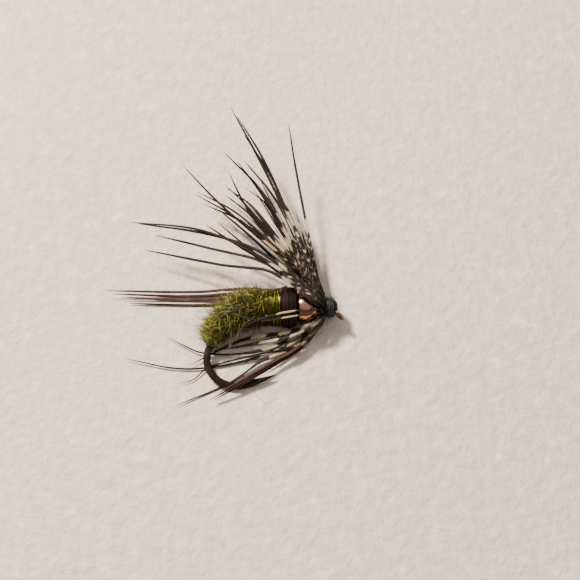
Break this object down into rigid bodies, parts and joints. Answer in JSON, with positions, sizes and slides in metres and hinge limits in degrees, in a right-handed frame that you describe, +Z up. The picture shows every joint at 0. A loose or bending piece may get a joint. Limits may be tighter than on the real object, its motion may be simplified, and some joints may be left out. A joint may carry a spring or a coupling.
{
  "type": "soft-hackle bead fishing fly",
  "caption": "Artificial fly on a curved hook: metal bead, thread collar, tinsel and dubbed olive body, long swept-back barred hackle and a thread head",
  "frame": {"origin": "on the table, under the middle of the fly's bounding box", "axes": "+X toward the hook eye, +Y toward the fly's back and the tips of the upper hackle, +Z up from the table the fly lies on its side on"},
  "size_m": [0.0248, 0.0314, 0.011],
  "materials": {
    "hook": "satin dark bronze",
    "bead": "polished copper plating",
    "thread_base": "waxed thread",
    "dubbing": "loose spun fibre, olive",
    "tinsel": "glossy film, olive green",
    "collar_thread": "fine waxed thread, claret",
    "quill": "natural feather quill",
    "head_thread": "fine waxed thread, charcoal",
    "hackle": "feather barbs, cream barred with dark brown"
  },
  "bodies": {
    "root": {"hook": "hook", "bead": "bead", "thread_base": "thread_base", "dubbed_body": "dubbing", "tinsel_wraps": "tinsel", "thread_collar": "collar_thread", "feather_stem": "quill", "thread_head": "head_thread", "hackle_barb_01": "hackle", "hackle_barb_02": "hackle", "hackle_barb_03": "hackle", "hackle_barb_04": "hackle", "hackle_barb_05": "hackle", "hackle_barb_06": "hackle", "hackle_barb_07": "hackle", "hackle_barb_08": "hackle", "hackle_barb_09": "hackle", "hackle_barb_10": "hackle", "hackle_barb_11": "hackle", "hackle_barb_12": "hackle", "hackle_barb_13": "hackle", "hackle_barb_14": "hackle", "hackle_barb_15": "hackle", "hackle_barb_16": "hackle", "hackle_barb_17": "hackle", "hackle_barb_18": "hackle", "hackle_barb_19": "hackle", "hackle_barb_20": "hackle", "hackle_barb_21": "hackle", "hackle_barb_22": "hackle", "hackle_barb_23": "hackle", "hackle_barb_24": "hackle", "hackle_barb_25": "hackle", "hackle_barb_26": "hackle", "hackle_barb_27": "hackle", "hackle_barb_28": "hackle", "hackle_barb_29": "hackle", "hackle_barb_30": "hackle", "hackle_barb_31": "hackle", "hackle_barb_32": "hackle", "hackle_barb_33": "hackle", "hackle_barb_34": "hackle", "hackle_barb_35": "hackle", "hackle_barb_36": "hackle", "hackle_barb_37": "hackle", "hackle_barb_38": "hackle", "hackle_barb_39": "hackle", "hackle_barb_40": "hackle", "hackle_barb_41": "hackle", "hackle_barb_42": "hackle", "hackle_barb_43": "hackle", "hackle_barb_44": "hackle"}
  },
  "joints": []
}
